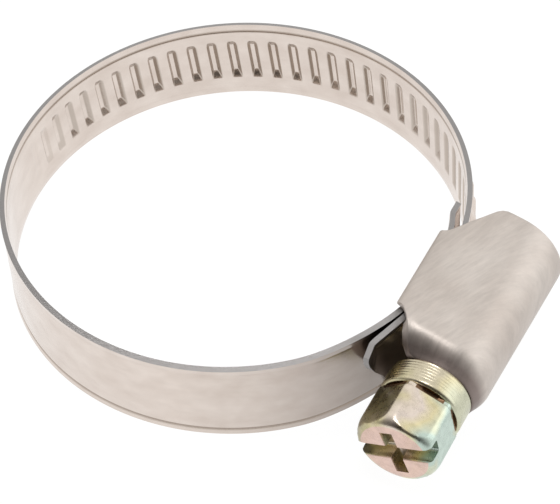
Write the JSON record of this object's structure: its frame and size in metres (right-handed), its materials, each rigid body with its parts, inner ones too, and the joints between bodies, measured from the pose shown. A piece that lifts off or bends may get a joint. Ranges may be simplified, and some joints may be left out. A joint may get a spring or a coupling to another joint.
{
  "type": "hose clamp",
  "caption": "Worm-drive hose clamp: a thin stamped band, wrapped in a sheet housing, that a hexagon-head worm screw pulls closed round a hose.",
  "frame": {"origin": "centre of the bounding box's underside, on the plane that the housing's lower side lies on", "axes": "+Z along the axis of the ring and of the hose, +X from the ring towards the housing, so that the screw's axis lies along Y with its head at -Y"},
  "size_m": [0.0503, 0.043, 0.0106],
  "materials": {
    "stainless_band": "bright rolled stainless strip, with fine lines along its length",
    "stainless_housing": "satin stainless sheet with faint scratches",
    "yellow_zinc": "yellow chromated zinc plating with a faint rainbow"
  },
  "bodies": {
    "housing": {"housing": "stainless_housing", "band_fixed_end": "stainless_band"},
    "screw": {"worm_screw": "yellow_zinc"},
    "tongue": {"band_tongue": "stainless_band"},
    "link_01": {"band_link_01": "stainless_band"},
    "link_02": {"band_link_02": "stainless_band"},
    "link_03": {"band_link_03": "stainless_band"},
    "link_04": {"band_link_04": "stainless_band"},
    "link_05": {"band_link_05": "stainless_band"},
    "link_06": {"band_link_06": "stainless_band"},
    "link_07": {"band_link_07": "stainless_band"},
    "link_08": {"band_link_08": "stainless_band"},
    "link_09": {"band_link_09": "stainless_band"},
    "link_10": {"band_link_10": "stainless_band"},
    "link_11": {"band_link_11": "stainless_band"},
    "link_12": {"band_link_12": "stainless_band"},
    "link_13": {"band_link_13": "stainless_band"},
    "link_14": {"band_link_14": "stainless_band"},
    "link_15": {"band_link_15": "stainless_band"},
    "link_16": {"band_link_16": "stainless_band"},
    "link_17": {"band_link_17": "stainless_band"},
    "link_18": {"band_link_18": "stainless_band"},
    "link_19": {"band_link_19": "stainless_band"},
    "link_20": {"band_link_20": "stainless_band"},
    "link_21": {"band_link_21": "stainless_band"},
    "link_22": {"band_link_22": "stainless_band"},
    "link_23": {"band_link_23": "stainless_band"},
    "link_24": {"band_link_24": "stainless_band"}
  },
  "joints": [
    {"name": "screw_turn", "type": "hinge", "parent": "housing", "child": "screw", "pos_m": [0.02065, -0.00022, 0.0053], "axis": [0, 1, 0], "range_deg": [0, 9433]},
    {"name": "tongue_bend", "type": "hinge", "parent": "housing", "child": "tongue", "pos_m": [0.01628, 0.00078, 0.0053], "axis": [0, 0, 1], "range_deg": [-0.2, 17.34]},
    {"name": "band_bend_01", "type": "hinge", "parent": "housing", "child": "link_01", "pos_m": [0.01628, -0.00472, 0.0053], "axis": [0, 0, -1], "range_deg": [-0.2, 4.99]},
    {"name": "band_bend_02", "type": "hinge", "parent": "link_01", "child": "link_02", "pos_m": [0.01569, -0.00746, 0.0053], "axis": [0, 0, -1], "range_deg": [-0.2, 8.22]},
    {"name": "band_bend_03", "type": "hinge", "parent": "link_02", "child": "link_03", "pos_m": [0.01294, -0.0127, 0.0053], "axis": [0, 0, -1], "range_deg": [-0.2, 11.06]},
    {"name": "band_bend_04", "type": "hinge", "parent": "link_03", "child": "link_04", "pos_m": [0.00886, -0.01694, 0.0053], "axis": [0, 0, -1], "range_deg": [-0.2, 11.03]},
    {"name": "band_bend_05", "type": "hinge", "parent": "link_04", "child": "link_05", "pos_m": [0.00366, -0.01975, 0.0053], "axis": [0, 0, -1], "range_deg": [-0.2, 10.97]},
    {"name": "band_bend_06", "type": "hinge", "parent": "link_05", "child": "link_06", "pos_m": [-0.00212, -0.02097, 0.0053], "axis": [0, 0, -1], "range_deg": [-0.2, 10.91]},
    {"name": "band_bend_07", "type": "hinge", "parent": "link_06", "child": "link_07", "pos_m": [-0.00801, -0.02053, 0.0053], "axis": [0, 0, -1], "range_deg": [-0.2, 10.82]},
    {"name": "band_bend_08", "type": "hinge", "parent": "link_07", "child": "link_08", "pos_m": [-0.01354, -0.01844, 0.0053], "axis": [0, 0, -1], "range_deg": [-0.2, 10.72]},
    {"name": "band_bend_09", "type": "hinge", "parent": "link_08", "child": "link_09", "pos_m": [-0.01826, -0.01488, 0.0053], "axis": [0, 0, -1], "range_deg": [-0.2, 10.61]},
    {"name": "band_bend_10", "type": "hinge", "parent": "link_09", "child": "link_10", "pos_m": [-0.02179, -0.01014, 0.0053], "axis": [0, 0, -1], "range_deg": [-0.2, 10.47]},
    {"name": "band_bend_11", "type": "hinge", "parent": "link_10", "child": "link_11", "pos_m": [-0.02384, -0.0046, 0.0053], "axis": [0, 0, -1], "range_deg": [-0.2, 10.32]},
    {"name": "band_bend_12", "type": "hinge", "parent": "link_11", "child": "link_12", "pos_m": [-0.02425, 0.00129, 0.0053], "axis": [0, 0, -1], "range_deg": [-0.2, 10.15]},
    {"name": "band_bend_13", "type": "hinge", "parent": "link_12", "child": "link_13", "pos_m": [-0.02299, 0.00706, 0.0053], "axis": [0, 0, -1], "range_deg": [-0.2, 9.97]},
    {"name": "band_bend_14", "type": "hinge", "parent": "link_13", "child": "link_14", "pos_m": [-0.02015, 0.01225, 0.0053], "axis": [0, 0, -1], "range_deg": [-0.2, 9.76]},
    {"name": "band_bend_15", "type": "hinge", "parent": "link_14", "child": "link_15", "pos_m": [-0.01598, 0.01643, 0.0053], "axis": [0, 0, -1], "range_deg": [-0.2, 9.53]},
    {"name": "band_bend_16", "type": "hinge", "parent": "link_15", "child": "link_16", "pos_m": [-0.01079, 0.01926, 0.0053], "axis": [0, 0, -1], "range_deg": [-0.2, 9.28]},
    {"name": "band_bend_17", "type": "hinge", "parent": "link_16", "child": "link_17", "pos_m": [-0.00502, 0.02052, 0.0053], "axis": [0, 0, -1], "range_deg": [-0.2, 9.01]},
    {"name": "band_bend_18", "type": "hinge", "parent": "link_17", "child": "link_18", "pos_m": [0.00087, 0.02011, 0.0053], "axis": [0, 0, -1], "range_deg": [-0.2, 8.72]},
    {"name": "band_bend_19", "type": "hinge", "parent": "link_18", "child": "link_19", "pos_m": [0.00642, 0.01806, 0.0053], "axis": [0, 0, -1], "range_deg": [-0.2, 8.41]},
    {"name": "band_bend_20", "type": "hinge", "parent": "link_19", "child": "link_20", "pos_m": [0.01116, 0.01453, 0.0053], "axis": [0, 0, -1], "range_deg": [-0.2, 8.07]},
    {"name": "band_bend_21", "type": "hinge", "parent": "link_20", "child": "link_21", "pos_m": [0.01471, 0.00982, 0.0053], "axis": [0, 0, -1], "range_deg": [-0.2, 7.71]},
    {"name": "band_bend_22", "type": "hinge", "parent": "link_21", "child": "link_22", "pos_m": [0.01682, 0.00428, 0.0053], "axis": [0, 0, -1], "range_deg": [-0.2, 7.32]},
    {"name": "band_bend_23", "type": "hinge", "parent": "link_22", "child": "link_23", "pos_m": [0.01767, -0.00157, 0.0053], "axis": [0, 0, -1], "range_deg": [-0.2, 6.92]},
    {"name": "band_bend_24", "type": "hinge", "parent": "link_23", "child": "link_24", "pos_m": [0.01652, -0.00736, 0.0053], "axis": [0, 0, -1], "range_deg": [-0.2, 6.48]}
  ],
  "couplings": [
    {"joint": "tongue_bend", "follows": "screw_turn", "ratio": 0.0018022},
    {"joint": "band_bend_01", "follows": "screw_turn", "ratio": 0.00052797},
    {"joint": "band_bend_02", "follows": "screw_turn", "ratio": 0.0008706},
    {"joint": "band_bend_03", "follows": "screw_turn", "ratio": 0.0011717},
    {"joint": "band_bend_04", "follows": "screw_turn", "ratio": 0.0011677},
    {"joint": "band_bend_05", "follows": "screw_turn", "ratio": 0.0011622},
    {"joint": "band_bend_06", "follows": "screw_turn", "ratio": 0.001155},
    {"joint": "band_bend_07", "follows": "screw_turn", "ratio": 0.0011462},
    {"joint": "band_bend_08", "follows": "screw_turn", "ratio": 0.0011357},
    {"joint": "band_bend_09", "follows": "screw_turn", "ratio": 0.0011234},
    {"joint": "band_bend_10", "follows": "screw_turn", "ratio": 0.0011093},
    {"joint": "band_bend_11", "follows": "screw_turn", "ratio": 0.0010933},
    {"joint": "band_bend_12", "follows": "screw_turn", "ratio": 0.0010753},
    {"joint": "band_bend_13", "follows": "screw_turn", "ratio": 0.0010554},
    {"joint": "band_bend_14", "follows": "screw_turn", "ratio": 0.0010333},
    {"joint": "band_bend_15", "follows": "screw_turn", "ratio": 0.0010092},
    {"joint": "band_bend_16", "follows": "screw_turn", "ratio": 0.00098284},
    {"joint": "band_bend_17", "follows": "screw_turn", "ratio": 0.00095427},
    {"joint": "band_bend_18", "follows": "screw_turn", "ratio": 0.00092339},
    {"joint": "band_bend_19", "follows": "screw_turn", "ratio": 0.00089016},
    {"joint": "band_bend_20", "follows": "screw_turn", "ratio": 0.00085451},
    {"joint": "band_bend_21", "follows": "screw_turn", "ratio": 0.00081639},
    {"joint": "band_bend_22", "follows": "screw_turn", "ratio": 0.00077574},
    {"joint": "band_bend_23", "follows": "screw_turn", "ratio": 0.00073249},
    {"joint": "band_bend_24", "follows": "screw_turn", "ratio": 0.0006866}
  ]
}
